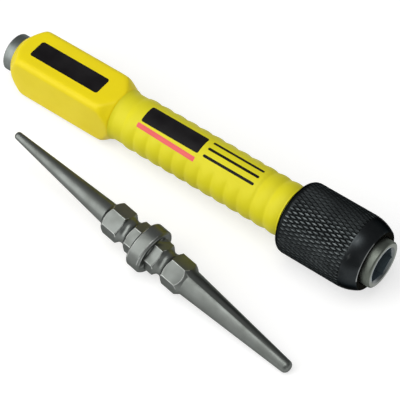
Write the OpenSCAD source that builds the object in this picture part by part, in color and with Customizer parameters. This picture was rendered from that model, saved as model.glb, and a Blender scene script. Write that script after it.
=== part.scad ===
// Nail setter with a quick-release chuck and a loose double-ended punch bit.
// The tool's axis is X, from the centre of the strike face towards the nose. Z is up.

/* [Bit] */
// Width across the flats of the bit's hex
hex_af = 7.94; // [7:0.1:8.4]
// Length of the bit over both tips
bit_len = 91.5; // [80:0.5:110]
// Length of the hex stretch between the two tapers
hex_run = 26.6; // [25.6:0.2:30]
// Diameter of the collar that seats on the nose
collar_d = 12.4; // [11:0.1:13.4]
// Width of the collar
collar_w = 4.2; // [3.4:0.1:5]
// Chamfer on both edges of the collar
collar_chamfer = 0.5; // [0.2:0.05:0.9]
// Distance from the bit's middle to each detent groove
groove_at = 6.2; // [5.8:0.1:7]
// Radius of the round bottom of a detent groove
groove_round = 1.6; // [1.3:0.05:1.8]
// Diameter left at the bottom of a detent groove
groove_root_d = 6.7; // [6.3:0.1:7]
// Length of the slope at each end of the hex
hex_slope = 1.35; // [0.8:0.05:2]
// Diameter of the small tip
small_tip_d = 2.1; // [1.2:0.1:3]
// Diameter of the large tip
large_tip_d = 3.3; // [3:0.1:4.4]
// Diameter of the small taper where it meets the hex
small_root_d = 5.9; // [4.6:0.1:6.6]
// Diameter of the large taper where it meets the hex
large_root_d = 7; // [6.2:0.1:7.2]

/* [Handle] */
// Length of the tool without its bit, from strike face to nose
tool_len = 114.8; // [110:0.5:125]
// Diameter of the strike face's steel cap
cap_d = 10.2; // [9.8:0.1:11.4]
// How far the cap stands out behind the head
cap_out = 2.5; // [1.4:0.05:3.4]
// Diameter of the steel bar in the handle
bar_d = 10; // [9.4:0.1:10.6]
// Side of the square head
head_side = 13.7; // [12.8:0.1:15]
// Distance from the strike face to the front of the head
head_end = 36.2; // [30:0.2:38]
// Radius of the head's four long edges
head_round = 1.7; // [1:0.1:3]
// Length of the sloped shoulder at the front of the head
front_slope = 3; // [1.6:0.1:5]
// Radius of the bend into that shoulder
front_round = 2.4; // [1.4:0.1:3]
// Length of the turned slope at the back of the head
back_slope = 3.9; // [3:0.1:6]
// Wall of the grip at its smooth neck and groove bottoms
neck_wall = 1.55; // [1.3:0.05:2]
// Distance from the strike face to the first grip rib
ribs_from = 40.2; // [39:0.1:44]
// Distance between grip ribs
rib_pitch = 4; // [3:0.1:5]
// Height of the grip ribs
rib_h = 0.35; // [0.2:0.05:0.6]
// Distance from the strike face to the front end of the grip
grip_end = 88.65; // [84:0.05:89.5]
// How far the smooth print panel stands over the ribs
panel_proud = 0.05; // [0.03:0.01:0.15]

/* [Release sleeve] */
// Wall of the release sleeve over the lock ring
sleeve_wall = 1.87; // [1.4:0.01:2.6]
// How far the nose stands out of the sleeve
nose_out = 2.2; // [1.2:0.1:2.4]
// Gap between the grip and the sleeve
sleeve_gap = 0.35; // [0.2:0.05:0.5]
// Radius of the sleeve's rear edge
rear_round = 2.4; // [1.5:0.1:2.6]
// Length of the domed front of the sleeve
dome_len = 5.6; // [4:0.1:8]
// Travel of the sleeve that frees the bit
sleeve_travel = 2.4; // [1.8:0.1:2.8]
// Thickness of the sleeve's rear guide flange
guide_w = 2.4; // [1.6:0.1:3]

/* [Chuck] */
// Turn of the socket about the tool's axis
chuck_turn = 8; // [0:1:30]
// Clearance on each flat of the hex socket
socket_gap = 0.08; // [0.04:0.01:0.15]
// Diameter of the detent balls
ball_d = 3.175; // [3:0.025:3.2]
// How far the locked balls stand out of the chuck body
ball_proud = 0.35; // [0.3:0.025:0.5]
// Diameter of the spring wire
wire_d = 0.8; // [0.6:0.05:0.9]
// Number of spring coils
coils = 5; // [3:0.5:6]
// Thickness of the retaining ring
snap_w = 1; // [0.7:0.05:1.2]
// Thickness of the washer under the spring
washer_w = 0.8; // [0.5:0.05:1]

/* [Bit on the surface] */
// Distance of the bit's middle from the strike face
bit_x = 65.6; // [60:0.2:72]
// Distance of the bit's middle beside the tool
bit_y = 27.55; // [24:0.05:60]
// Turn of the bit against the tool, seen from above
bit_yaw = -5.7; // [-12:0.1:6]
// Turn of the bit about its own axis
bit_roll = 5; // [0:1:30]

/* [Hidden] */
$fn = 96;

// Small sizes, clearances and the overrun of every cut
cut = 1;
face_chamfer = 0.4;
relief_gap = 0.25;
tip_room = 1.3;
seat_gap = 0.05;
ball_hole_gap = 0.06;
lift_gap = 0.12;
land_gap = 0.075;
ramp_gap = 0.04;
guide_gap = 0.06;
stop_gap = 0.05;
stop_w = 0.9;
stop_h = 0.55;
stop_side_gap = 0.15;
ring_wall = 0.42;
ring_shoulder = 0.2;
ring_recess = 0.1;
ring_dish = 0.75;
lip_gap = 0.25;
lip_w = 0.3;
ring_rear = 1.4;
front_land = 0.2;
spring_gap = 0.17;
spring_end_gap = 0.03;
washer_side_gap = 0.15;
snap_depth = 0.65;
snap_side_gap = 0.35;
snap_room = 1;
snap_open = 50;
mouth_chamfer = 0.5;
nose_round = 0.5;
cap_len = 6;
key_depth = 0.6;
key_w = 3;
key_from = 13;
key_pitch = 8;
keys = 2;
spigot_len = 7.6;
rib_gap = 0.1;
panel_round_share = 0.93;
tip_round_share = 0.75;
ring_sides = 8;
rings_per_coil = 18;

// Bit
hex_r = hex_af / 2 / cos(30);
hex_half = hex_run / 2;
tip_at = bit_len / 2;
groove_root_r = groove_root_d / 2;
collar_r = collar_d / 2;
large_root_r = large_root_d / 2;
small_root_r = small_root_d / 2;
large_tip_r = large_tip_d / 2;
small_tip_r = small_tip_d / 2;

// Chuck, counted back from the nose face
ball_r = ball_d / 2;
ball_at = groove_root_r + seat_gap + ball_r;
body_r = ball_at + ball_r - ball_proud;
socket_af = hex_af + 2 * socket_gap;
socket_r = socket_af / 2 / cos(30);
socket_from = tool_len - (hex_half - collar_w / 2) - seat_gap;
relief_r = large_root_r + relief_gap;
relief_from = tool_len - (tip_at - collar_w / 2) - tip_room;
tail_from = relief_from - spigot_len;
ball_x = tool_len - (groove_at - collar_w / 2);
ball_lift = hex_af / 2 + lift_gap - (ball_at - ball_r);
ball_hole_r = ball_r + ball_hole_gap;
ball_seat = ball_at - (ball_r + ramp_gap) * sqrt(2) + ball_hole_r;

// Lock ring: its ramp frees the balls as fast as the sleeve moves
ramp_slope = ball_lift / sleeve_travel;
ramp_angle = atan(ramp_slope);
land_r = ball_at + ball_r + land_gap;
release_r = land_r + ball_lift;
ring_r = release_r + ring_wall;
land_from = ball_x + ((ball_r + ramp_gap) / cos(ramp_angle) - (land_r - ball_at)) / ramp_slope;
ramp_from = land_from - ball_lift / ramp_slope;
ring_from = ramp_from - ring_rear;
sleeve_to = tool_len - nose_out;
ring_to = sleeve_to - ring_recess;
lip_r = body_r + lip_gap;
lip_at = ring_to - ring_dish;

// Release sleeve
sleeve_r = ring_r + sleeve_wall;
sleeve_from = grip_end + sleeve_gap;
stop_r = body_r + stop_h;
guide_from = grip_end + stop_w + stop_gap;
chamber_from = guide_from + guide_w;
chamber_r = ring_r - ring_shoulder;
dome_from = sleeve_to - dome_len;
dome_drop = sleeve_wall - front_land;
dome_round = (dome_len * dome_len + dome_drop * dome_drop) / (2 * dome_drop);

// Spring, washer and retaining ring
snap_at = socket_from - snap_room - snap_w;
snap_root_r = body_r - snap_depth;
snap_r = chamber_r - snap_side_gap;
washer_from = snap_at - washer_w;
washer_r = chamber_r - washer_side_gap;
coil_r = body_r + spring_gap + wire_d / 2;
coil_from = chamber_from + wire_d / 2 + spring_end_gap;
coil_to = washer_from - wire_d / 2 - spring_end_gap;

// Handle
head_half = head_side / 2;
cap_r = cap_d / 2;
bar_r = bar_d / 2;
neck_r = bar_r + neck_wall;
crest_r = neck_r + rib_h;
rib_chord = rib_pitch - rib_gap;
rib_round = (rib_chord * rib_chord / 4 + rib_h * rib_h) / (2 * rib_h);
ribs = round((grip_end - ribs_from) / rib_pitch);
panel_top = crest_r + panel_proud;
panel_r = panel_top * panel_round_share;
panel_to = ribs_from + (ribs - 2) * rib_pitch;
corner_r = head_half * sqrt(2) - head_round * (sqrt(2) - 1);
back_flat = cap_out + back_slope * (head_half - cap_r) / (corner_r - cap_r);
front_angle = atan((corner_r - neck_r) / front_slope);
round_at = head_end - front_slope - front_round * tan(front_angle / 2);

// The surface that the tool and the bit lie on, seen from the tool
lie_from = sleeve_from + rear_round;
lie_slope = (sleeve_r - head_half) / (lie_from - back_flat);
lie_angle = atan(lie_slope);
surface_z = -sleeve_r + (lie_from - bit_x) * lie_slope;
rest_round = large_tip_r * tip_round_share;
rest_run = tip_at - rest_round - (collar_w / 2 - collar_chamfer);
rest_drop = collar_r - (large_tip_r - rest_round);
rest_hyp = sqrt(rest_run * rest_run + rest_drop * rest_drop);
rest_angle = atan2(rest_drop, rest_run) - asin(rest_round / rest_hyp);
rest_h = collar_r * cos(rest_angle) + (collar_w / 2 - collar_chamfer) * sin(rest_angle);

// Turns a shape made along Z onto the tool's axis
module along_x() {
    rotate([0, 90, 0]) children();
}

// A plain ring or disc between two places on the axis
module turned(from, to, r, bore = 0) {
    along_x() translate([0, 0, from]) difference() {
        cylinder(r = r, h = to - from);
        if (bore > 0)
            translate([0, 0, -cut]) cylinder(r = bore, h = to - from + 2 * cut);
    }
}

// A hex bar between two places on the axis, with a corner on top
module hex_bar(from, to, r) {
    along_x() translate([0, 0, from]) cylinder(r = r, h = to - from, $fn = 6);
}

// Outline of the steel bar, with grooves that key it into the head
module shank_outline() {
    difference() {
        union() {
            polygon([
                [0, 0], [cap_r - face_chamfer, 0], [cap_r, face_chamfer], [cap_r, cap_len], [0, cap_len]
            ]);
            translate([0, cap_len - face_chamfer]) square([bar_r, tail_from - cap_len + face_chamfer]);
        }
        for (i = [0:keys - 1])
            translate([bar_r - key_depth, key_from + i * key_pitch]) square([key_depth + cut, key_w]);
    }
}

module striking_shank() {
    color("silver") along_x() rotate_extrude() {
        shank_outline();
        translate([0, tail_from - face_chamfer])
            square([relief_r, relief_from - tail_from + face_chamfer]);
    }
}

// Outline that turns the back slope and the front shoulder on the square head
module head_outline() {
    polygon([
        [0, cap_out], [cap_r, cap_out], [corner_r, cap_out + back_slope], [corner_r, round_at],
        [corner_r - front_round * (1 - cos(front_angle)), round_at + front_round * sin(front_angle)],
        [neck_r, head_end], [0, head_end]
    ]);
    intersection() {
        translate([corner_r - front_round, round_at]) circle(front_round);
        translate([0, round_at]) square([corner_r, front_round]);
    }
}

module square_bar(from, to) {
    side = 2 * (head_half - head_round);
    along_x() translate([0, 0, from]) linear_extrude(to - from) {
        square([head_side, side], center = true);
        square([side, head_side], center = true);
        for (x = [-1, 1], y = [-1, 1])
            translate([x, y] * (head_half - head_round)) circle(head_round);
    }
}

module head_block() {
    color("gold") difference() {
        intersection() {
            square_bar(cap_out, head_end);
            along_x() rotate_extrude() head_outline();
        }
        along_x() rotate_extrude() shank_outline();
    }
}

// Outline of the grip: rounded ribs on a plain barrel
module grip_outline() {
    difference() {
        union() {
            translate([0, head_end]) square([neck_r, grip_end - head_end]);
            for (i = [0:ribs - 1])
                translate([crest_r - rib_round, ribs_from + (i + 0.5) * rib_pitch]) circle(rib_round);
        }
        translate([bar_r - crest_r - rib_round, 0]) square([crest_r + rib_round, tool_len]);
        translate([0, grip_end]) square([crest_r + cut, rib_pitch + rib_round]);
        translate([0, head_end - rib_round]) square([crest_r + cut, rib_round]);
    }
}

module grip_sleeve() {
    color("gold") difference() {
        union() {
            along_x() rotate_extrude() grip_outline();
            translate([0, 0, panel_top - panel_r]) turned(ribs_from, panel_to, panel_r);
        }
        turned(head_end - cut, grip_end + cut, bar_r);
    }
}

// Outline of the chuck body: tail, stop flange, guide, ring groove and rounded nose
module body_outline() {
    difference() {
        union() {
            translate([0, tail_from]) square([bar_r, grip_end - tail_from]);
            translate([0, grip_end]) square([stop_r, stop_w]);
            translate([0, grip_end]) square([body_r, tool_len - nose_round - grip_end]);
            translate([body_r - nose_round, tool_len - nose_round]) circle(nose_round);
            translate([0, tool_len - nose_round]) square([body_r - nose_round, nose_round]);
        }
        translate([snap_root_r, snap_at]) square([snap_depth + cut, snap_w]);
    }
}

module ball_holes() {
    for (side = [-1, 1])
        rotate([chuck_turn - side * 90, 0, 0]) translate([ball_x, 0, 0]) {
            translate([0, 0, ball_seat]) cylinder(r = ball_hole_r, h = body_r);
            translate([0, 0, ball_seat - ball_hole_r]) cylinder(r1 = 0, r2 = ball_hole_r, h = ball_hole_r);
        }
}

module chuck_body() {
    color("dimgray") difference() {
        along_x() rotate_extrude() body_outline();
        turned(tail_from - cut, socket_from + cut, relief_r);
        rotate([chuck_turn, 0, 0]) hex_bar(socket_from, tool_len + cut, socket_r);
        along_x() translate([0, 0, tool_len - mouth_chamfer])
            cylinder(
                r1 = socket_r - mouth_chamfer / 2, r2 = socket_r + mouth_chamfer / 2 + cut,
                h = mouth_chamfer + cut
            );
        ball_holes();
    }
}

// The retaining ring is a band open at the bottom
module snap_ring() {
    color("gray") along_x() rotate([0, 0, snap_open / 2]) rotate_extrude(angle = 360 - snap_open)
        translate([snap_root_r, snap_at]) square([snap_r - snap_root_r, snap_w]);
}

module spring_washer() {
    color("silver") turned(washer_from, snap_at, washer_r, body_r + guide_gap);
}

// Points of the wire's rings, one ring after another along the helix
function coil_point(i, j) =
    let (turn = 360 * i / rings_per_coil, side = 360 * j / ring_sides)
    let (r = coil_r + wire_d / 2 * cos(side))
    [
        coil_from + (coil_to - coil_from) * i / (coils * rings_per_coil) + wire_d / 2 * sin(side),
        r * cos(turn), r * sin(turn)
    ];

module release_spring() {
    last = coils * rings_per_coil;
    points = [for (i = [0:last], j = [0:ring_sides - 1]) coil_point(i, j)];
    walls = [
        for (i = [0:last - 1], j = [0:ring_sides - 1], half = [0, 1])
            let (a = i * ring_sides + j, b = i * ring_sides + (j + 1) % ring_sides)
            half == 0 ? [a, a + ring_sides, b] : [b, a + ring_sides, b + ring_sides]
    ];
    first_cap = [for (j = [0:ring_sides - 1]) j];
    last_cap = [for (j = [ring_sides - 1:-1:0]) last * ring_sides + j];
    color("silver") polyhedron(points, concat(walls, [first_cap, last_cap]));
}

// Outline of the sleeve: rounded rear edge, straight knurled stretch, domed front
module sleeve_outline() {
    difference() {
        union() {
            translate([0, sleeve_from]) square([sleeve_r - rear_round, rear_round]);
            translate([sleeve_r - rear_round, sleeve_from + rear_round]) circle(rear_round);
            translate([0, sleeve_from + rear_round]) square([sleeve_r, dome_from - sleeve_from - rear_round]);
            intersection() {
                translate([sleeve_r - dome_round, dome_from]) circle(dome_round);
                translate([0, dome_from]) square([sleeve_r, dome_len]);
            }
        }
        translate([0, sleeve_from - cut]) square([body_r + guide_gap, sleeve_to - sleeve_from + 2 * cut]);
        translate([0, sleeve_from - cut]) square([stop_r + stop_side_gap, guide_from - sleeve_from + cut]);
        translate([0, chamber_from]) square([chamber_r, sleeve_to - chamber_from + cut]);
        translate([0, ring_from]) square([ring_r, sleeve_to - ring_from + cut]);
    }
}

module release_sleeve() {
    color("#202224") along_x() rotate_extrude() sleeve_outline();
}

// The lock ring: dished front with a lip close to the nose, land and ramp for the balls behind it
module lock_ring() {
    color("dimgray") along_x() rotate_extrude() polygon([
        [ring_r, ring_from], [ring_r, ring_to], [lip_r, lip_at], [lip_r, lip_at - lip_w],
        [land_r, lip_at - lip_w], [land_r, land_from], [release_r, ramp_from], [release_r, ring_from]
    ]);
}

module detent_ball(side) {
    color("silver") rotate([chuck_turn, 0, 0]) translate([ball_x, side * ball_at, 0]) sphere(ball_r);
}

module detent_ball_1() {
    detent_ball(1);
}

module detent_ball_2() {
    detent_ball(-1);
}

// Outline of one taper with its rounded tip, from the hex's slope outwards
module taper_outline(root_r, tip_r) {
    tip_round = tip_r * tip_round_share;
    polygon([
        [0, 0], [root_r, hex_half - hex_slope / 2], [root_r, hex_half], [tip_r, tip_at - tip_round],
        [tip_r - tip_round, tip_at], [0, tip_at]
    ]);
    intersection() {
        translate([tip_r - tip_round, tip_at - tip_round]) circle(tip_round);
        translate([0, tip_at - tip_round]) square([tip_r, tip_round]);
    }
}

// Outline of half the hex stretch: sloped end and detent groove
module hex_outline(root_r) {
    difference() {
        polygon([[0, 0], [hex_r, 0], [hex_r, hex_half - hex_slope], [root_r, hex_half], [0, hex_half]]);
        translate([groove_root_r + groove_round, groove_at]) circle(groove_round);
    }
}

module half_bit(root_r, tip_r) {
    intersection() {
        hex_bar(0, hex_half, hex_r);
        along_x() rotate_extrude() hex_outline(root_r);
    }
    along_x() rotate_extrude() taper_outline(root_r, tip_r);
}

module bit() {
    half_bit(large_root_r, large_tip_r);
    mirror([1, 0, 0]) half_bit(small_root_r, small_tip_r);
    along_x() rotate_extrude() polygon([
        [0, -collar_w / 2], [collar_r - collar_chamfer, -collar_w / 2],
        [collar_r, collar_chamfer - collar_w / 2], [collar_r, collar_w / 2 - collar_chamfer],
        [collar_r - collar_chamfer, collar_w / 2], [0, collar_w / 2]
    ]);
}

// The bit lies on its collar and its large tip, on the surface that the tool lies on
module double_ended_bit() {
    color("gray") translate([bit_x, -bit_y, surface_z]) rotate([0, lie_angle, 0]) rotate([0, 0, bit_yaw])
        translate([0, 0, rest_h]) rotate([0, rest_angle, 0]) rotate([bit_roll, 0, 0]) bit();
}

striking_shank();
head_block();
grip_sleeve();
chuck_body();
snap_ring();
spring_washer();
release_spring();
release_sleeve();
lock_ring();
detent_ball_1();
detent_ball_2();
double_ended_bit();
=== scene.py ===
import math
import bpy
from mathutils import Matrix, Vector


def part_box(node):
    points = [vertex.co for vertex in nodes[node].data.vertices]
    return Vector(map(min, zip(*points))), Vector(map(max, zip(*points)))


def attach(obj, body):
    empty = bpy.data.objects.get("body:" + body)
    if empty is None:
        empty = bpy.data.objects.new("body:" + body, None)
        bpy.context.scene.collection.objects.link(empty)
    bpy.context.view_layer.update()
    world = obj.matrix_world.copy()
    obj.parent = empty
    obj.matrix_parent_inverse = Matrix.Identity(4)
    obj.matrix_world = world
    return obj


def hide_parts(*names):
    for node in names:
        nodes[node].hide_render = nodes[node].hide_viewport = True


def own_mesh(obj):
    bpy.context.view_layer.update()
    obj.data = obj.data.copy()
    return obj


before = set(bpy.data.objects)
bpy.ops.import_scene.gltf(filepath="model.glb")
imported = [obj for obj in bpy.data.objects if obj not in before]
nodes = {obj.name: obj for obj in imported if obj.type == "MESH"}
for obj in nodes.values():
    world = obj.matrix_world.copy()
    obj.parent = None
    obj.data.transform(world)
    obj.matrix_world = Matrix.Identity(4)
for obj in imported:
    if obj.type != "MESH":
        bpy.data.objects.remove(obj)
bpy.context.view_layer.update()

mm = 0.001


# Small steps that every piece shares

def deselectAll():
    if bpy.context.object and bpy.context.object.mode != "OBJECT":
        bpy.ops.object.mode_set(mode="OBJECT")
    bpy.ops.object.select_all(action="DESELECT")


def pick(*objs):
    deselectAll()
    for o in objs:
        o.select_set(True)
    bpy.context.view_layer.objects.active = objs[0]
    return objs[0]


def editAll(o):
    pick(o)
    bpy.ops.object.mode_set(mode="EDIT")
    bpy.ops.mesh.select_mode(type="VERT")
    bpy.ops.mesh.select_all(action="SELECT")


def selectWhere(o, kind, test):  # kind is vertices, edges or polygons, and test gets one of them
    editAll(o)
    bpy.ops.mesh.select_mode(type={"vertices": "VERT", "edges": "EDGE", "polygons": "FACE"}[kind])
    bpy.ops.mesh.select_all(action="DESELECT")
    bpy.ops.object.mode_set(mode="OBJECT")
    for item in getattr(o.data, kind):
        item.select = test(item)
    bpy.ops.object.mode_set(mode="EDIT")


def applyModifier(o, kind, **values):
    pick(o)
    modifier = o.modifiers.new(kind.lower(), kind)
    for key, value in values.items():
        setattr(modifier, key, value)
    bpy.ops.object.modifier_apply(modifier=modifier.name)
    return o


def settle(o, angle=35):  # place into the mesh, faces outwards, smooth below the angle
    pick(o)
    bpy.ops.object.transform_apply(location=True, rotation=True, scale=True)
    editAll(o)
    bpy.ops.mesh.remove_doubles(threshold=0.001 * mm)
    bpy.ops.mesh.normals_make_consistent(inside=False)
    bpy.ops.object.mode_set(mode="OBJECT")
    bpy.ops.object.shade_smooth_by_angle(angle=math.radians(angle))
    return o


def lathe(name, profile, steps=96):  # profile is (x, radius) in mm, turned about X
    deselectAll()
    bpy.ops.mesh.primitive_plane_add(size=mm)
    o = bpy.context.object
    o.name = name
    editAll(o)
    bpy.ops.mesh.merge(type="CENTER")
    x, r = profile[0]
    bpy.ops.transform.translate(value=(x * mm, 0, r * mm))
    for nextX, nextR in profile[1:]:
        bpy.ops.mesh.extrude_region_move(
            TRANSFORM_OT_translate={"value": ((nextX - x) * mm, 0, (nextR - r) * mm)})
        x, r = nextX, nextR
    bpy.ops.mesh.select_all(action="SELECT")
    bpy.ops.mesh.spin(steps=steps, angle=math.tau, center=(0, 0, 0), axis=(1, 0, 0))
    return settle(o)


def arc(x, r, radius, start, end, count):
    turns = [math.radians(start + (end - start) * i / count) for i in range(count + 1)]
    return [(x + radius * math.cos(a), r + radius * math.sin(a)) for a in turns]


def combine(o, tool, operation):
    applyModifier(o, "BOOLEAN", object=tool, operation=operation, solver="EXACT")
    bpy.data.objects.remove(tool)
    return o


def joined(name, parts):
    o = pick(*parts)
    bpy.ops.object.join()
    o.name = name
    return o


def dress(o, *materials):
    o.data.materials.clear()
    for material in materials:
        o.data.materials.append(material)


def smoothStep(value, low, high):
    t = min(1, max(0, (value - low) / (high - low)))
    return t * t * (3 - 2 * t)


# Shader groups: fine grain, slow patches, turning marks and lighter sharp edges

def newGroup(name, inputs, outputs):
    tree = bpy.data.node_groups.new(name, "ShaderNodeTree")
    for socket, kind in inputs:
        tree.interface.new_socket(socket, in_out="INPUT", socket_type=kind)
    for socket, kind in outputs:
        tree.interface.new_socket(socket, in_out="OUTPUT", socket_type=kind)
    return tree, tree.nodes.new("NodeGroupInput"), tree.nodes.new("NodeGroupOutput")


def addMath(tree, operation, a, b):
    node = tree.nodes.new("ShaderNodeMath")
    node.operation = operation
    for socket, value in zip(node.inputs, (a, b)):
        if isinstance(value, (int, float)):
            socket.default_value = value
        else:
            tree.links.new(value, socket)
    return node.outputs[0]


def addNoise(tree, vector, scale, detail=2.0):
    node = tree.nodes.new("ShaderNodeTexNoise")
    node.inputs["Detail"].default_value = detail
    tree.links.new(vector, node.inputs["Vector"])
    if isinstance(scale, (int, float)):
        node.inputs["Scale"].default_value = scale
    else:
        tree.links.new(scale, node.inputs["Scale"])
    return node.outputs["Fac"]


def addSpread(tree, value, low, high):  # stretches the middle of a noise over 0 to 1
    node = tree.nodes.new("ShaderNodeMapRange")
    node.inputs["From Min"].default_value = low
    node.inputs["From Max"].default_value = high
    tree.links.new(value, node.inputs["Value"])
    return node.outputs[0]


def makeGrainGroup():
    tree, source, sink = newGroup(
        "mouldGrain",
        [("Vector", "NodeSocketVector"), ("Grain Scale", "NodeSocketFloat"), ("Patch Scale", "NodeSocketFloat")],
        [("Grain", "NodeSocketFloat"), ("Patch", "NodeSocketFloat")])
    grain = addNoise(tree, source.outputs["Vector"], source.outputs["Grain Scale"], 3)
    patch = addNoise(tree, source.outputs["Vector"], source.outputs["Patch Scale"], 2)
    tree.links.new(grain, sink.inputs["Grain"])
    tree.links.new(addSpread(tree, patch, 0.35, 0.65), sink.inputs["Patch"])
    return tree


def makeTurningGroup():
    tree, source, sink = newGroup(
        "turningMarks",
        [("Vector", "NodeSocketVector"), ("Lines", "NodeSocketFloat")],
        [("Line", "NodeSocketFloat")])
    split = tree.nodes.new("ShaderNodeSeparateXYZ")
    tree.links.new(source.outputs["Vector"], split.inputs[0])
    radius = addMath(tree, "POWER", addMath(
        tree, "ADD", addMath(tree, "POWER", split.outputs["Y"], 2), addMath(tree, "POWER", split.outputs["Z"], 2)), 0.5)
    plane = tree.nodes.new("ShaderNodeCombineXYZ")
    tree.links.new(split.outputs["X"], plane.inputs["X"])
    tree.links.new(radius, plane.inputs["Y"])
    lines = addNoise(tree, plane.outputs[0], source.outputs["Lines"], 2)
    tree.links.new(addSpread(tree, lines, 0.3, 0.7), sink.inputs["Line"])
    return tree


def makeEdgeGroup():
    tree, source, sink = newGroup(
        "edgeWear",
        [("Vector", "NodeSocketVector"), ("Reach", "NodeSocketFloat")],
        [("Mask", "NodeSocketFloat")])
    shape = tree.nodes.new("ShaderNodeNewGeometry")
    edge = addMath(tree, "MULTIPLY", addMath(tree, "SUBTRACT", shape.outputs["Pointiness"], 0.5),
                   source.outputs["Reach"])
    broken = addNoise(tree, source.outputs["Vector"], 900.0, 3)
    mask = addMath(tree, "MULTIPLY", edge, addSpread(tree, broken, 0.3, 0.6))
    clamp = tree.nodes.new("ShaderNodeClamp")
    tree.links.new(mask, clamp.inputs["Value"])
    tree.links.new(clamp.outputs[0], sink.inputs["Mask"])
    return tree


grainGroup = makeGrainGroup()
turningGroup = makeTurningGroup()
edgeGroup = makeEdgeGroup()
print("shader groups made")


# Materials

def addGroup(tree, group, vector, **values):
    node = tree.nodes.new("ShaderNodeGroup")
    node.node_tree = group
    tree.links.new(vector, node.inputs["Vector"])
    for key, value in values.items():
        node.inputs[key.replace("_", " ")].default_value = value
    return node


def addMix(tree, factor, a, b):
    node = tree.nodes.new("ShaderNodeMix")
    node.data_type = "RGBA"
    tree.links.new(factor, node.inputs["Factor"])
    for socket, value in ((node.inputs["A"], a), (node.inputs["B"], b)):
        if isinstance(value, tuple):
            socket.default_value = (*value, 1)
        else:
            tree.links.new(value, socket)
    return node.outputs["Result"]


def addRange(tree, value, low, high):
    node = tree.nodes.new("ShaderNodeMapRange")
    node.inputs["To Min"].default_value = low
    node.inputs["To Max"].default_value = high
    tree.links.new(value, node.inputs["Value"])
    return node.outputs[0]


def makeFinish(name, look):
    material = bpy.data.materials.new(name)
    material.use_nodes = True
    tree = material.node_tree
    shader = tree.nodes["Principled BSDF"]
    place = tree.nodes.new("ShaderNodeTexCoord")
    centre = tree.nodes.new("ShaderNodeMapping")
    centre.inputs["Location"].default_value = look.get("centre", (0, 0, 0))
    centre.inputs["Rotation"].default_value = look.get("turn", (0, 0, 0))
    tree.links.new(place.outputs["Object"], centre.inputs["Vector"])
    vector = centre.outputs[0]
    grain = addGroup(tree, grainGroup, vector, Grain_Scale=look["grainScale"], Patch_Scale=look["patchScale"])
    colour = addMix(tree, grain.outputs["Patch"], look["colour"], look["colourB"])
    height = grain.outputs["Grain"]
    rough = addRange(tree, grain.outputs["Patch"], *look["roughness"])
    if "lines" in look:
        turned = addGroup(tree, turningGroup, vector, Lines=look["lines"])
        colour = addMix(tree, turned.outputs["Line"], colour, look["lineColour"])
        height = addMath(tree, "ADD", height, addMath(tree, "MULTIPLY", turned.outputs["Line"], look["lineDepth"]))
    # Lighter colour on sharp edges, broken by noise; on the yellow head this is a painted highlight
    if "edgeColour" in look:
        edge = addGroup(tree, edgeGroup, vector, Reach=look["edgeReach"])
        colour = addMix(tree, edge.outputs["Mask"], colour, look["edgeColour"])
    bump = tree.nodes.new("ShaderNodeBump")
    bump.inputs["Strength"].default_value = look["bump"]
    bump.inputs["Distance"].default_value = look.get("bumpDepth", 0.02) * mm
    tree.links.new(height, bump.inputs["Height"])
    tree.links.new(bump.outputs[0], shader.inputs["Normal"])
    tree.links.new(colour, shader.inputs["Base Color"])
    tree.links.new(rough, shader.inputs["Roughness"])
    shader.inputs["Metallic"].default_value = look.get("metallic", 0)
    shader.inputs["IOR"].default_value = look.get("ior", 1.5)
    shader.inputs["Coat Weight"].default_value = look.get("coat", 0)
    shader.inputs["Coat Roughness"].default_value = 0.25
    shader.inputs["Specular IOR Level"].default_value = look.get("gloss", 0.5)
    shader.inputs["Specular Tint"].default_value = (*look.get("rim", (1, 1, 1)), 1)
    return material


# Head yellow; its lighter edge colour is a painted highlight on the rounded edges
headYellow = makeFinish("headYellow", {
    "colour": (0.89, 0.72, 0.004), "colourB": (0.86, 0.69, 0.006), "roughness": (0.38, 0.46), "gloss": 0.22,
    "grainScale": 2600.0, "patchScale": 140.0, "bump": 0.35, "bumpDepth": 0.012,
    "edgeColour": (0.9, 0.78, 0.05), "edgeReach": 4.0})
gripYellow = makeFinish("gripYellow", {
    "colour": (0.765, 0.695, 0.010), "colourB": (0.735, 0.662, 0.012), "roughness": (0.5, 0.6), "gloss": 0.3,
    "grainScale": 2200.0, "patchScale": 110.0, "bump": 0.5, "bumpDepth": 0.015})
printBlack = makeFinish("printBlack", {
    "colour": (0.006, 0.005, 0.006), "colourB": (0.011, 0.010, 0.011), "roughness": (0.38, 0.5), "gloss": 0.12,
    "grainScale": 2400.0, "patchScale": 200.0, "bump": 0.4, "bumpDepth": 0.01})
printRed = makeFinish("printRed", {
    "colour": (0.84, 0.102, 0.10), "colourB": (0.79, 0.09, 0.09), "roughness": (0.42, 0.52),
    "grainScale": 2400.0, "patchScale": 200.0, "bump": 0.4, "bumpDepth": 0.01})
sleeveBlack = makeFinish("sleeveBlack", {
    "colour": (0.029, 0.033, 0.035), "colourB": (0.023, 0.026, 0.028), "roughness": (0.27, 0.36), "metallic": 1,
    "rim": (0.25, 0.25, 0.25),
    "grainScale": 3000.0, "patchScale": 180.0, "bump": 0.3, "bumpDepth": 0.008,
    "edgeColour": (0.16, 0.17, 0.17), "edgeReach": 3.0})
knurlBlack = makeFinish("knurlBlack", {
    "colour": (0.022, 0.025, 0.026), "colourB": (0.015, 0.017, 0.018), "roughness": (0.35, 0.45), "metallic": 1,
    "rim": (0.2, 0.2, 0.2), "grainScale": 3000.0, "patchScale": 180.0, "bump": 0.3, "bumpDepth": 0.008})
knurlCrest = makeFinish("knurlCrest", {
    "colour": (0.100, 0.112, 0.114), "colourB": (0.06, 0.068, 0.07), "roughness": (0.3, 0.4), "metallic": 1,
    "rim": (0.3, 0.3, 0.3), "grainScale": 3000.0, "patchScale": 420.0, "bump": 0.3, "bumpDepth": 0.008})
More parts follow.
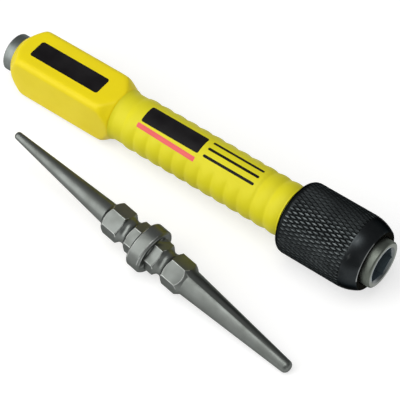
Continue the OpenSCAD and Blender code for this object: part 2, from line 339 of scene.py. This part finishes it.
# Light steel grey for the sleeve's front edge on the lamp side: a painted highlight
sleeveEdge = makeFinish("sleeveEdge", {
    "colour": (0.42, 0.44, 0.43), "colourB": (0.2, 0.21, 0.21), "roughness": (0.2, 0.3), "metallic": 1,
    "grainScale": 3000.0, "patchScale": 240.0, "bump": 0.3, "bumpDepth": 0.008})
noseSteel = makeFinish("noseSteel", {
    "colour": (0.150, 0.165, 0.145), "colourB": (0.125, 0.138, 0.120), "roughness": (0.36, 0.44), "metallic": 1,
    "rim": (0.4, 0.4, 0.4),
    "grainScale": 2600.0, "patchScale": 260.0, "bump": 0.4, "bumpDepth": 0.008,
    "lines": 5200.0, "lineColour": (0.135, 0.15, 0.13), "lineDepth": 0.6})
faceSteel = makeFinish("faceSteel", {
    "colour": (0.19, 0.205, 0.185), "colourB": (0.24, 0.26, 0.23), "roughness": (0.4, 0.5), "metallic": 1,
    "grainScale": 2600.0, "patchScale": 400.0, "bump": 0.3, "bumpDepth": 0.006})
mouthSteel = makeFinish("mouthSteel", {
    "colour": (0.17, 0.185, 0.185), "colourB": (0.14, 0.155, 0.155), "roughness": (0.3, 0.4), "metallic": 1,
    "grainScale": 2600.0, "patchScale": 400.0, "bump": 0.3, "bumpDepth": 0.006})
# Light blue-grey strip on the nose face beside the socket mouth: a painted highlight
rimSteel = makeFinish("rimSteel", {
    "colour": (0.50, 0.58, 0.64), "colourB": (0.4, 0.47, 0.52), "roughness": (0.25, 0.35), "metallic": 1,
    "grainScale": 2600.0, "patchScale": 400.0, "bump": 0.2, "bumpDepth": 0.006})
# Blue-grey, partly diffuse steel inside the hex socket: a painted reflection of light in the socket
socketSteel = makeFinish("socketSteel", {
    "colour": (0.11, 0.15, 0.17), "colourB": (0.08, 0.11, 0.13), "roughness": (0.4, 0.5), "metallic": 0.3,
    "grainScale": 2600.0, "patchScale": 260.0, "bump": 0.4, "bumpDepth": 0.008})
# Near-black steel for the lock ring, which sits recessed behind the sleeve's front edge: painted shade of that recess
ringSteel = makeFinish("ringSteel", {
    "colour": (0.024, 0.024, 0.020), "colourB": (0.017, 0.017, 0.014), "roughness": (0.45, 0.55), "metallic": 1,
    "rim": (0.3, 0.3, 0.3),
    "grainScale": 2600.0, "patchScale": 260.0, "bump": 0.4, "bumpDepth": 0.008,
    "lines": 5200.0, "lineColour": (0.03, 0.029, 0.025), "lineDepth": 0.6})
barSteel = makeFinish("barSteel", {
    "colour": (0.200, 0.219, 0.212), "colourB": (0.162, 0.178, 0.172), "roughness": (0.34, 0.44), "metallic": 1,
    "rim": (0.4, 0.4, 0.4),
    "grainScale": 2600.0, "patchScale": 240.0, "bump": 0.4, "bumpDepth": 0.008,
    "lines": 4200.0, "lineColour": (0.21, 0.23, 0.225), "lineDepth": 0.8})
bitSteel = makeFinish("bitSteel", {
    "colour": (0.172, 0.184, 0.175), "colourB": (0.142, 0.152, 0.142), "roughness": (0.32, 0.42), "metallic": 1,
    "rim": (0.4, 0.4, 0.4),
    "grainScale": 3200.0, "patchScale": 220.0, "bump": 0.45, "bumpDepth": 0.01})
# Light steel on the bit's edge bevels: a painted highlight
bitEdge = makeFinish("bitEdge", {
    "colour": (0.44, 0.46, 0.44), "colourB": (0.26, 0.27, 0.26), "roughness": (0.3, 0.4), "metallic": 1,
    "grainScale": 3200.0, "patchScale": 420.0, "bump": 0.3, "bumpDepth": 0.008})
springSteel = makeFinish("springSteel", {
    "colour": (0.34, 0.33, 0.31), "colourB": (0.26, 0.25, 0.23), "roughness": (0.25, 0.35), "metallic": 1,
    "grainScale": 2600.0, "patchScale": 300.0, "bump": 0.3, "bumpDepth": 0.006})
print("materials made")


# Camera, level against the surface that the tool lies on, which falls slightly towards the nose

view = {
    "aim": (68.025, -10.171, 0), "distance": 483.537, "azimuth": 37.753, "elevation": 53.636, "roll": -0.259,
    "lens": 179.1, "sensor": 36.0}
surface = {"lie": 1.8272, "x": 65.6, "z": -8.807, "size": 3.0}


def turnAbout(axis, degrees):
    return Matrix.Rotation(math.radians(degrees), 4, axis)


def makeCamera():
    data = bpy.data.cameras.new("photoCamera")
    data.lens = view["lens"]
    data.sensor_width = view["sensor"]
    camera = bpy.data.objects.new("photoCamera", data)
    bpy.context.scene.collection.objects.link(camera)
    turn = (turnAbout("Y", surface["lie"]) @ turnAbout("Z", view["azimuth"])
            @ turnAbout("X", 90 - view["elevation"]) @ turnAbout("Z", view["roll"]))
    place = Vector(view["aim"]) * mm + turn.to_3x3() @ Vector((0, 0, view["distance"] * mm))
    camera.matrix_world = Matrix.Translation(place) @ turn
    bpy.context.scene.camera = camera


# Pale floor and soft light

lamps = [
    {"name": "softKey", "from": (-0.47, -0.70, 0.55), "distance": 0.9, "size": (0.70, 1.15), "power": 5.85},
    {"name": "softTop", "from": (0.0, -0.12, 0.99), "distance": 0.9, "size": (0.6, 0.5), "power": 2.7},
    {"name": "softFront", "from": (0.85, -0.35, 0.4), "distance": 0.9, "size": (0.7, 0.7), "power": 0.6}]
light = {"colour": (1.0, 1.0, 0.985), "world": 0.30, "floorColour": (0.5, 0.5, 0.5), "floorLift": 0.62}


def makeFloor():
    deselectAll()
    bpy.ops.mesh.primitive_plane_add(size=surface["size"])
    floor = bpy.context.object
    floor.name = "paleFloor"
    floor.matrix_world = (Matrix.Translation(Vector((surface["x"], 0, surface["z"])) * mm)
                          @ turnAbout("Y", surface["lie"]))
    pick(floor)
    bpy.ops.object.transform_apply(location=True, rotation=True, scale=True)
    material = bpy.data.materials.new("paleFloor")
    material.use_nodes = True
    tree = material.node_tree
    shader = tree.nodes["Principled BSDF"]
    shader.inputs["Base Color"].default_value = (*light["floorColour"], 1)
    shader.inputs["Roughness"].default_value = 0.9
    shader.inputs["Specular IOR Level"].default_value = 0.1
    shader.inputs["Emission Color"].default_value = (1, 1, 1, 1)
    path = tree.nodes.new("ShaderNodeLightPath")
    seen = addMath(tree, "MAXIMUM", path.outputs["Is Camera Ray"], addMath(
        tree, "MAXIMUM", path.outputs["Is Glossy Ray"], path.outputs["Is Transmission Ray"]))
    tree.links.new(addMath(tree, "MULTIPLY", seen, light["floorLift"]), shader.inputs["Emission Strength"])
    dress(floor, material)


def makeLight():
    for s in lamps:
        data = bpy.data.lights.new(s["name"], "AREA")
        data.shape = "RECTANGLE"
        data.size, data.size_y = s["size"]
        data.energy = s["power"]
        data.color = light["colour"]
        lamp = bpy.data.objects.new(s["name"], data)
        bpy.context.scene.collection.objects.link(lamp)
        away = Vector(s["from"]).normalized()
        place = Vector(view["aim"]) * mm + away * s["distance"]
        lamp.matrix_world = Matrix.Translation(place) @ away.to_track_quat("Z", "Y").to_matrix().to_4x4()
    world = bpy.data.worlds.new("studio")
    bpy.context.scene.world = world
    world.use_nodes = True
    world.node_tree.nodes["Background"].inputs["Color"].default_value = (light["world"],) * 3 + (1,)


makeCamera()
makeFloor()
makeLight()
bpy.context.scene.view_settings.view_transform = "Standard"
print("camera, floor and light set")


# Striking bar: the struck cap behind the head, and the bar inside the handle

barShape = {
    "capRadius": 5.1, "capLength": 6, "barRadius": 4.99, "tailFrom": 62.25, "tailTo": 69.85, "tailRadius": 3.74,
    "faceCrown": 0.06, "chamfer": 0.22}


def makeStrikingBar():
    s = barShape
    crown = [(s["faceCrown"] * (i / 6) ** 2, (s["capRadius"] - s["chamfer"]) * i / 6) for i in range(7)]
    profile = crown + [
        (s["chamfer"] + s["faceCrown"], s["capRadius"]), (s["capLength"], s["capRadius"]),
        (s["capLength"], s["barRadius"]), (s["tailFrom"], s["barRadius"]), (s["tailFrom"], s["tailRadius"]),
        (s["tailTo"], s["tailRadius"]), (s["tailTo"], 0)]
    bar = lathe("strikingBar", profile)
    applyModifier(bar, "BEVEL", width=0.08 * mm, segments=2, limit_method="ANGLE")
    settle(bar)
    dress(bar, barSteel)
    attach(bar, "handle")
    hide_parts("striking_shank")


# Head: a square moulding with turned ends, softened as it comes out of the mould

headShape = {
    "from": 2.5, "to": 36.2, "longRound": 1.7, "lipRadius": 5.25, "lip": 0.25, "slopeTo": 6.4,
    "corner": 8.98, "frontRound": 2.4, "frontSlope": 3.0, "neck": 6.55, "fillet": 0.4, "voxel": 0.2, "soften": 6, "blend": 70,
    "blendFrom": (9.0, 30.0), "blendOver": 3.0, "bore": 5.1}


def makeHead():
    s = headShape
    low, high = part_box("head_block")
    deselectAll()
    bpy.ops.mesh.primitive_cube_add(size=1, location=(low + high) / 2)
    head = bpy.context.object
    head.name = "headBlock"
    editAll(head)
    bpy.ops.transform.resize(value=tuple(high - low))
    bpy.ops.object.mode_set(mode="OBJECT")
    settle(head)
    ends = {v.index: v.co for v in head.data.vertices}
    selectWhere(head, "edges", lambda e: abs(ends[e.vertices[0]].x - ends[e.vertices[1]].x) > mm)
    bpy.ops.mesh.bevel(offset=s["longRound"] * mm, segments=8, affect="EDGES")
    frontTurn = math.degrees(math.atan((s["corner"] - s["neck"]) / s["frontSlope"]))
    bendAt = s["to"] - s["frontSlope"] - s["frontRound"] * math.tan(math.radians(frontTurn / 2))
    front = arc(bendAt, s["corner"] - s["frontRound"], s["frontRound"], 90, 90 - frontTurn, 6)
    turned = lathe("headTurned", [
        (s["from"], 0), (s["from"], s["lipRadius"] - s["lip"]), (s["from"] + s["lip"], s["lipRadius"]),
        (s["slopeTo"], s["corner"]), *front, (s["to"] - 1.6 * s["fillet"], s["neck"] + 1.35 * s["fillet"]),
        (s["to"], s["neck"] + s["fillet"]), (s["to"], 0)], 128)
    deselectAll()
    combine(head, turned, "INTERSECT")
    applyModifier(head, "REMESH", mode="VOXEL", voxel_size=s["voxel"] * mm, use_smooth_shade=True)
    applyModifier(head, "SMOOTH", factor=0.5, iterations=s["soften"])
    ends = head.vertex_groups.new(name="ends")
    for v in head.data.vertices:
        beyond = max(s["blendFrom"][0] - v.co.x / mm, v.co.x / mm - s["blendFrom"][1])
        ends.add([v.index], smoothStep(beyond, 0, s["blendOver"]), "REPLACE")
    applyModifier(head, "SMOOTH", factor=0.5, iterations=s["blend"], vertex_group="ends")
    deselectAll()
    bpy.ops.mesh.primitive_cylinder_add(
        vertices=96, radius=s["bore"] * mm, depth=2 * s["to"] * mm,
        location=(s["to"] / 2 * mm, 0, 0), rotation=(0, math.pi / 2, 0))
    combine(head, bpy.context.object, "DIFFERENCE")
    settle(head, 50)
    dress(head, headYellow)
    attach(head, "handle")
    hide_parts("head_block")


# Grip: a barrel whose ribs fade out beside the smooth print panel

gripShape = {
    "neck": 6.55, "crest": 6.95, "bore": 5.0, "ribsFrom": 40.2, "pitch": 4.0, "ribHeight": 0.37, "step": 0.25,
    "panelTo": 80.2, "fadeFrom": 36, "fadeTo": 58, "endRound": 0.3, "fillet": 0.4, "filletTo": 37.6}


def barrelRadius(x):
    s = gripShape
    rise = min(1, max(0, (x - s["ribsFrom"]) / (s["pitch"] / 2)))
    flare = min(1, max(0, (s["filletTo"] - x) / (s["filletTo"] - headShape["to"])))
    return s["neck"] + (s["crest"] - s["neck"]) * (1 - (1 - rise) ** 2) + s["fillet"] * flare ** 2


def valleyDepth(x, turn):  # 0 on a rib, 1 at the bottom of a groove
    s = gripShape
    if x < s["ribsFrom"] + s["pitch"] / 2:
        return 0
    share = (x - s["ribsFrom"]) / s["pitch"] % 1
    fade = smoothStep(abs(turn), s["fadeFrom"], s["fadeTo"])
    allRound = smoothStep(x, s["panelTo"] - 1, s["panelTo"] + 0.5)
    return (2 * share - 1) ** 2 * max(fade, allRound)


def makeGrip():
    s = gripShape
    low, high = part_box("grip_sleeve")
    start, end = low.x / mm, high.x / mm
    count = round((end - start) / s["step"])
    stations = [start + (end - start) * i / count for i in range(count + 1)]
    outer = [(x, barrelRadius(x)) for x in stations[:-1]]
    outer += [(end - s["endRound"] / 3, s["crest"] - 0.04), (end, s["crest"] - s["endRound"])]
    grip = lathe("gripSleeve", [(start, s["bore"]), *outer, (end, s["bore"]), (start, s["bore"])], 128)
    ribs = grip.vertex_groups.new(name="ribs")
    for v in grip.data.vertices:
        if math.hypot(v.co.y, v.co.z) > (s["bore"] + 0.5) * mm:
            turn = math.degrees(math.atan2(v.co.y, v.co.z))
            ribs.add([v.index], valleyDepth(v.co.x / mm, turn), "REPLACE")
    applyModifier(grip, "DISPLACE", strength=-s["ribHeight"] * mm, mid_level=0, vertex_group="ribs")
    applyModifier(grip, "SMOOTH", factor=0.4, iterations=1, vertex_group="ribs")
    settle(grip, 50)
    dress(grip, gripYellow)
    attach(grip, "handle")
    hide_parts("grip_sleeve")


# Prints: a bare black plate on the head, plain bars and a stripe on the grip's panel

plate = {"x": (8.15, 30.1), "y": (-3.0, 2.45), "corner": 0.7, "from": 6.80, "to": 6.875}
barrelPrints = [
    {"name": "printBand", "x": (44.3, 61.9), "turn": (-25.2, 17.5), "corner": 0.5, "lean": 0.0},
    {"name": "printLineA", "x": (63.4, 78.7), "turn": (11.5, 17.5), "corner": 0.3, "lean": 0.0},
    {"name": "printLineB", "x": (63.4, 78.7), "turn": (-7.0, -1.0), "corner": 0.3, "lean": 0.0},
    {"name": "printLineC", "x": (63.4, 78.7), "turn": (-25.2, -19.2), "corner": 0.3, "lean": 0.0},
    {"name": "printStripe", "x": (43.9, 61.9), "turn": (-40.3, -29.6), "corner": 0.25, "lean": -4.4}]
inkDepth = 0.03


def roundedPatch(name, low, high, corner):
    deselectAll()
    bpy.ops.mesh.primitive_plane_add(size=1, location=((low[0] + high[0]) / 2 * mm, (low[1] + high[1]) / 2 * mm, 0))
    o = bpy.context.object
    o.name = name
    o.scale = ((high[0] - low[0]) * mm, (high[1] - low[1]) * mm, 1)
    settle(o)
    editAll(o)
    bpy.ops.mesh.bevel(offset=corner * mm, segments=5, affect="VERTICES")
    bpy.ops.object.mode_set(mode="OBJECT")
    return o


def makePlate():
    s = plate
    patch = roundedPatch("headPlate", (s["x"][0], s["y"][0]), (s["x"][1], s["y"][1]), s["corner"])
    editAll(patch)
    bpy.ops.transform.translate(value=(0, 0, s["to"] * mm))
    bpy.ops.object.mode_set(mode="OBJECT")
    dress(patch, printBlack)
    applyModifier(patch, "SOLIDIFY", thickness=(s["to"] - s["from"]) * mm, offset=-1)
    settle(patch)
    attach(patch, "handle")


def makeBarrelPrints():
    radius = gripShape["crest"] + inkDepth / 2
    perDegree = math.radians(1) * radius
    for s in barrelPrints:
        low = (s["x"][0], s["turn"][0] * perDegree)
        high = (s["x"][1], s["turn"][1] * perDegree)
        patch = roundedPatch(s["name"], low, high, s["corner"])
        for i in range(1, 60):  # cuts along the bar, so that it can follow the barrel
            y = low[1] + (high[1] - low[1]) * i / 60
            editAll(patch)
            bpy.ops.mesh.bisect(plane_co=(0, y * mm, 0), plane_no=(0, 1, 0))
        bpy.ops.object.mode_set(mode="OBJECT")
        for v in patch.data.vertices:
            along = (v.co.x / mm - s["x"][0]) / (s["x"][1] - s["x"][0])
            turn = v.co.y / (radius * mm) + math.radians(s["lean"]) * along
            v.co.y = radius * mm * math.sin(turn)
            v.co.z = radius * mm * math.cos(turn)
        applyModifier(patch, "SOLIDIFY", thickness=2 * inkDepth * mm, offset=-1)
        settle(patch)
        dress(patch, printRed if s["name"] == "printStripe" else printBlack)
        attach(patch, "handle")


# Release sleeve: turned body with cut diamonds

sleeveShape = {
    "rearRound": 2.4, "domeFrom": 107.0, "dome": 10.224, "stopBore": 6.925, "guideFrom": 89.6, "guideBore": 6.285,
    "chamberFrom": 92, "chamber": 7.56, "seatFrom": 107.01, "seat": 7.77, "frontEdge": 0.14}
knurl = {"from": 90.6, "to": 108.3, "ramp": 0.25, "depth": 0.2, "round": 54, "rowPitch": 1.38, "first": 91.2,
         "rows": 13, "crest": 0.5, "crestLength": 1.25, "crestWidth": 0.72, "foot": 0.97, "root": 0.06, "softEdge": 0.02}


def makeSleeveBody(low, high):
    s = sleeveShape
    k = knurl
    start, end, radius = low.x / mm, high.x / mm, high.y / mm
    floor = radius - k["depth"]
    domeCentre = radius - s["dome"]
    endTurn = math.degrees(math.acos((end - s["frontEdge"] - s["domeFrom"]) / s["dome"]))
    cutTurn = math.degrees(math.acos((k["to"] - s["domeFrom"]) / s["dome"]))
    dome = arc(s["domeFrom"], domeCentre, s["dome"], cutTurn, endTurn, 14)
    rearEnd = start + s["rearRound"]
    rearTurn = math.degrees(math.acos((k["from"] - rearEnd) / s["rearRound"]))
    rear = arc(rearEnd, radius - s["rearRound"], s["rearRound"], 180, rearTurn, 12)
    profile = [
        (start, s["stopBore"]), *rear, (k["from"] + k["ramp"], floor), (k["to"] - k["ramp"], floor), *dome,
        (end, dome[-1][1] - 1.2 * s["frontEdge"]), (end, s["seat"]), (s["seatFrom"], s["seat"]),
        (s["seatFrom"], s["chamber"]), (s["chamberFrom"], s["chamber"]), (s["chamberFrom"], s["guideBore"]),
        (s["guideFrom"], s["guideBore"]), (s["guideFrom"], s["stopBore"]), (start, s["stopBore"])]
    return lathe("releaseSleeve", profile, 108)


def turnedRadius(x, start, radius):  # outside of the sleeve at x before its knurl is cut
    s = sleeveShape
    behind = max(0, start + s["rearRound"] - x)
    ahead = max(0, x - s["domeFrom"])
    if behind > 0:
        return radius - s["rearRound"] + math.sqrt(s["rearRound"] ** 2 - behind ** 2)
    return radius - s["dome"] + math.sqrt(s["dome"] ** 2 - ahead ** 2)


def makeDiamonds(start, radius):
    k = knurl
    halfWidth = math.pi * radius / k["round"]
    rise = k["depth"] + k["root"]
    slope = (k["foot"] - k["crest"]) / k["depth"]
    deselectAll()
    bpy.ops.mesh.primitive_cone_add(
        vertices=4, radius1=k["foot"] + slope * k["root"], radius2=k["crest"], depth=rise * mm)
    diamond = bpy.context.object
    diamond.name = "diamond"
    for v in diamond.data.vertices:
        if v.co.z > 0:
            v.co.x *= k["crestLength"]
            v.co.y *= k["crestWidth"]
    diamond.scale = (k["rowPitch"] * mm, halfWidth * mm, 1)
    diamond.location = (k["first"] * mm, 0, (radius - rise / 2) * mm)
    settle(diamond)
    applyModifier(diamond, "BEVEL", width=k["softEdge"] * mm, segments=1, limit_method="ANGLE",
                  angle_limit=math.radians(20))
    dress(diamond, knurlBlack, knurlCrest)
    for face in diamond.data.polygons:
        face.material_index = 1 if face.normal.z > 0.95 else 0
    second = diamond.copy()
    second.data = diamond.data.copy()
    bpy.context.scene.collection.objects.link(second)
    second.matrix_world = (Matrix.Translation((k["rowPitch"] * mm, 0, 0))
                           @ turnAbout("X", 180 / k["round"]))
    settle(second)
    for part, count in ((diamond, k["rows"] - k["rows"] // 2), (second, k["rows"] // 2)):
        applyModifier(part, "ARRAY", count=count, use_relative_offset=False, use_constant_offset=True,
                      constant_offset_displace=(2 * k["rowPitch"] * mm, 0, 0))
    pair = joined("diamonds", [diamond, second])
    turn = bpy.data.objects.new("oneDiamondRound", None)
    bpy.context.scene.collection.objects.link(turn)
    turn.rotation_euler = (math.tau / k["round"], 0, 0)
    bpy.context.view_layer.update()
    applyModifier(pair, "ARRAY", count=k["round"], use_relative_offset=False, use_object_offset=True,
                  offset_object=turn)
    bpy.data.objects.remove(turn)
    for v in pair.data.vertices:
        share = turnedRadius(v.co.x / mm, start, radius) * mm / math.hypot(v.co.y, v.co.z)
        if share < 1:
            v.co.y *= share
            v.co.z *= share
    return pair


def makeSleeve():
    low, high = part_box("release_sleeve")
    body = makeSleeveBody(low, high)
    dress(body, sleeveBlack, sleeveEdge, knurlBlack)
    bright = high.x - sleeveShape["frontEdge"] * mm
    for face in body.data.polygons:
        radius = math.hypot(face.center.y, face.center.z)
        turn = math.degrees(math.atan2(face.center.y, face.center.z))
        # Front-edge faces turned towards the key lamp get the light edge colour: a painted highlight
        edge = face.center.x > bright and abs(face.normal.x) < 0.95 and -85 < turn < -5
        edge = edge and radius > (sleeveShape["seat"] + 0.05) * mm
        cut = knurl["from"] * mm < face.center.x < knurl["to"] * mm and radius > high.y - 0.5 * mm
        face.material_index = 1 if edge else 2 if cut else 0
    diamonds = makeDiamonds(low.x / mm, high.y / mm)
    sleeve = joined("releaseSleeve", [body, diamonds])
    settle(sleeve, 30)
    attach(sleeve, "sleeve")
    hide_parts("release_sleeve")


# Chuck body: tail in the grip, stop flange, ring groove, and the nose with its hex socket and ball holes

chuckShape = {
    "tailFrom": 62.25, "tail": 5.0, "relief": 3.75, "stopFrom": 88.65, "stopTo": 89.55, "stop": 6.775,
    "body": 6.225, "grooveFrom": 101.55, "grooveTo": 102.55, "groove": 5.575, "face": 114.8, "noseRound": 0.5,
    "socketFrom": 103.55, "socketCorner": 4.677, "turn": 8, "mouth": 4.927, "chamfer": 0.5, "rim": 5.07,
    "rimHighlightTurns": (-100, 35),
    "ballX": 110.7, "ballHole": 1.6475, "ballSeat": 4.333}


def makeChuckBody():
    s = chuckShape
    bend = arc(s["face"] - s["noseRound"], s["body"] - s["noseRound"], s["noseRound"], 90, 0, 6)
    inner = s["socketFrom"] + 1
    body = lathe("chuckBody", [
        (s["tailFrom"], s["relief"]), (s["tailFrom"], s["tail"]), (s["stopFrom"], s["tail"]),
        (s["stopFrom"], s["stop"]), (s["stopTo"], s["stop"]), (s["stopTo"], s["body"]),
        (s["grooveFrom"], s["body"]), (s["grooveFrom"], s["groove"]), (s["grooveTo"], s["groove"]),
        (s["grooveTo"], s["body"]), *bend, (s["face"], s["rim"]), (s["face"], 0), (inner, 0),
        (inner, s["relief"]),
        (s["tailFrom"], s["relief"])])
    deselectAll()
    bpy.ops.mesh.primitive_cylinder_add(
        vertices=6, radius=s["socketCorner"] * mm, depth=2 * (s["face"] - s["socketFrom"]) * mm)
    socket = bpy.context.object
    socket.matrix_world = (Matrix.Translation((s["face"] * mm, 0, 0)) @ turnAbout("X", s["turn"])
                           @ turnAbout("Y", 90) @ turnAbout("Z", 30))
    settle(socket)
    combine(body, socket, "DIFFERENCE")
    c = s["chamfer"]
    combine(body, lathe("mouthCut", [
        (s["face"] - c, 0), (s["face"] - c, s["mouth"] - c), (s["face"] + c, s["mouth"] + c), (s["face"] + c, 0)]),
        "DIFFERENCE")
    for side in (-1, 1):
        hole = lathe("ballHole", [
            (s["ballSeat"] - s["ballHole"], 0), (s["ballSeat"], s["ballHole"]),
            (s["body"] + 1, s["ballHole"]), (s["body"] + 1, 0)], 40)
        hole.matrix_world = (Matrix.Translation((s["ballX"] * mm, 0, 0))
                             @ turnAbout("X", s["turn"] - side * 90) @ turnAbout("Y", -90))
        settle(hole)
        combine(body, hole, "DIFFERENCE")
    settle(body, 30)
    dress(body, noseSteel, faceSteel, rimSteel, mouthSteel, socketSteel)
    for face in body.data.polygons:
        radius = math.hypot(face.center.y, face.center.z) / mm
        x = face.center.x / mm
        turn = math.degrees(math.atan2(face.center.y, face.center.z))
        # Face strip beside the mouth, on the side towards the lamps: a painted highlight; the rest of the face is plain
        # face steel
        if x > s["face"] - 0.01:
            paintedRim = radius < s["rim"] and s["rimHighlightTurns"][0] < turn < s["rimHighlightTurns"][1]
            face.material_index = 2 if paintedRim else 1
        elif 0.5 < face.normal.x < 0.9 and radius < s["mouth"] and x > s["face"] - c:
            face.material_index = 3
        # Socket walls get the painted reflection colour
        elif radius < s["socketCorner"] and x > s["socketFrom"] - 0.1:
            face.material_index = 4
    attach(body, "handle")
    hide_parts("chuck_body")


# Lock ring: front face and lip close to the nose, land and ramp for the balls behind them

ringShape = {
    "from": 107.008, "to": 112.5, "radius": 7.76, "release": 7.34, "land": 6.65, "rampFrom": 108.408,
    "landFrom": 110.808, "lipFrom": 111.45, "lipTo": 112.38, "lip": 6.475}


def makeLockRing():
    s = ringShape
    ring = lathe("lockRing", [
        (s["from"], s["release"]), (s["from"], s["radius"]), (s["to"], s["radius"]),
        (s["to"], s["radius"] - 0.3), (s["lipTo"], s["lip"]), (s["lipFrom"], s["lip"]), (s["lipFrom"], s["land"]),
        (s["landFrom"], s["land"]), (s["rampFrom"], s["release"]), (s["from"], s["release"])])
    settle(ring, 30)
    # Lock ring dark all over: painted shade
    dress(ring, ringSteel)
    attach(ring, "sleeve")
    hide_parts("lock_ring")


# Release spring: the wire of the solid


def makeSpring():
    spring = bpy.data.objects.new("releaseSpring", nodes["release_spring"].data.copy())
    bpy.context.scene.collection.objects.link(spring)
    settle(spring, 50)
    dress(spring, springSteel)
    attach(spring, "washer")
    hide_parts("release_spring")
    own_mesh(spring)


# Double-ended bit: a hex bar turned down to grooves, a collar and two tapers

bitShape = {
    "hexCorner": 4.584, "half": 13.3, "slope": 1.35, "over": 4.8, "grooveAt": 6.2, "grooveCentre": 4.95,
    "grooveRound": 1.6, "collar": 6.2, "collarHalf": 2.1, "collarChamfer": 0.5, "tipAt": 45.75, "core": 3.0,
    "roots": (2.95, 3.5), "tips": (1.05, 1.65), "tipRound": 0.75, "edge": 0.14, "merge": 0.04,
    "highlightFrom": 3.9, "highlightTurns": (-75, 15)}
bitPlace = {"x": 65.6, "y": -27.55, "yaw": -5.7, "roll": 5.0, "rest": 6.0433, "height": 6.334}


def hexSide(sign, root):  # outline of half the hex stretch, from the middle out
    s = bitShape
    lean = (s["over"] - s["hexCorner"]) * s["slope"] / (s["hexCorner"] - root)
    drop = math.degrees(math.asin((s["grooveCentre"] - s["over"]) / s["grooveRound"]))
    groove = arc(s["grooveAt"], s["grooveCentre"], s["grooveRound"], 180 + drop, 360 - drop, 14)
    points = groove + [(s["half"] - s["slope"] - lean, s["over"]), (s["half"], root)]
    return [(sign * x, r) for x, r in points]


def taperSide(sign, root, tip):  # outline of one taper with its rounded tip, from the hex out
    s = bitShape
    bend = tip * s["tipRound"]
    length = s["tipAt"] - bend - s["half"]
    points = [(s["half"] - 0.6, root)]
    points += [(s["half"] + length * i / 12, root + (tip - root) * i / 12) for i in range(12)]
    points += arc(s["tipAt"] - bend, tip - bend, bend, 90, 0, 8) + [(s["tipAt"], 0)]
    return [(sign * x, max(r, 0)) for x, r in points]


def makeBit():
    s = bitShape
    small, large = s["roots"]
    deselectAll()
    bpy.ops.mesh.primitive_cylinder_add(vertices=6, radius=s["hexCorner"] * mm, depth=2 * s["half"] * mm)
    bit = bpy.context.object
    bit.name = "doubleEndedBit"
    bit.matrix_world = turnAbout("Y", 90) @ turnAbout("Z", 30)
    settle(bit)
    turned = lathe("bitTurned", [(-s["half"], 0), *reversed(hexSide(-1, small)), *hexSide(1, large), (s["half"], 0)])
    combine(bit, turned, "INTERSECT")
    c = s["collarChamfer"]
    rounds = lathe("bitRounds", [
        *reversed(taperSide(-1, small, s["tips"][0])), (-s["half"] + 0.6, s["core"] - 0.4),
        (-s["collarHalf"], s["core"]), (-s["collarHalf"], s["collar"] - c), (-s["collarHalf"] + c, s["collar"]),
        (s["collarHalf"] - c, s["collar"]), (s["collarHalf"], s["collar"] - c), (s["collarHalf"], s["core"]),
        (s["half"] - 0.6, s["core"]), *taperSide(1, large, s["tips"][1])])
    combine(bit, rounds, "UNION")
    dress(bit, bitSteel, bitEdge)
    editAll(bit)
    bpy.ops.mesh.remove_doubles(threshold=s["merge"] * mm)
    bpy.ops.mesh.dissolve_limited(angle_limit=math.radians(1))
    bpy.ops.object.mode_set(mode="OBJECT")
    applyModifier(bit, "BEVEL", width=s["edge"] * mm, segments=2, limit_method="ANGLE",
                  angle_limit=math.radians(22), material=1, use_clamp_overlap=False)
    # Bevels keep the light edge colour only on the side towards the key lamp and on the outer edges: a painted
    # highlight
    for face in bit.data.polygons:
        turn = math.degrees(math.atan2(face.center.y, face.center.z))
        radius = math.hypot(face.center.y, face.center.z)
        if not s["highlightTurns"][0] < turn < s["highlightTurns"][1] or radius < s["highlightFrom"] * mm:
            face.material_index = 0
    p = bitPlace
    bit.matrix_world = (
        Matrix.Translation(Vector((p["x"], p["y"], surface["z"])) * mm) @ turnAbout("Y", surface["lie"])
        @ turnAbout("Z", p["yaw"]) @ Matrix.Translation((0, 0, p["height"] * mm)) @ turnAbout("Y", p["rest"])
        @ turnAbout("X", p["roll"]))
    settle(bit, 14)
    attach(bit, "bit")
    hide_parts("double_ended_bit")
    bpy.context.view_layer.update()
    low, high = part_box("double_ended_bit")
    corners = [bit.matrix_world @ v.co for v in bit.data.vertices]
    off = [round((min(c[i] for c in corners) - low[i]) / mm, 3) for i in range(3)]
    off += [round((max(c[i] for c in corners) - high[i]) / mm, 3) for i in range(3)]
    print("bit lies off its solid by", off, "mm")


# Solids whose shape is right as they are

def dressSolids():
    for name, material in (
            ("snap_ring", springSteel), ("spring_washer", springSteel), ("detent_ball_1", springSteel),
            ("detent_ball_2", springSteel)):
        for held in nodes[name].material_slots:
            held.material = material


makeStrikingBar()
print("striking bar made")
makeHead()
print("head made")
makeGrip()
print("grip made")
makePlate()
makeBarrelPrints()
print("prints made")
makeChuckBody()
print("chuck body made")
makeSpring()
makeSleeve()
makeLockRing()
print("sleeve made")
makeBit()
print("bit made")
dressSolids()

deselectAll()
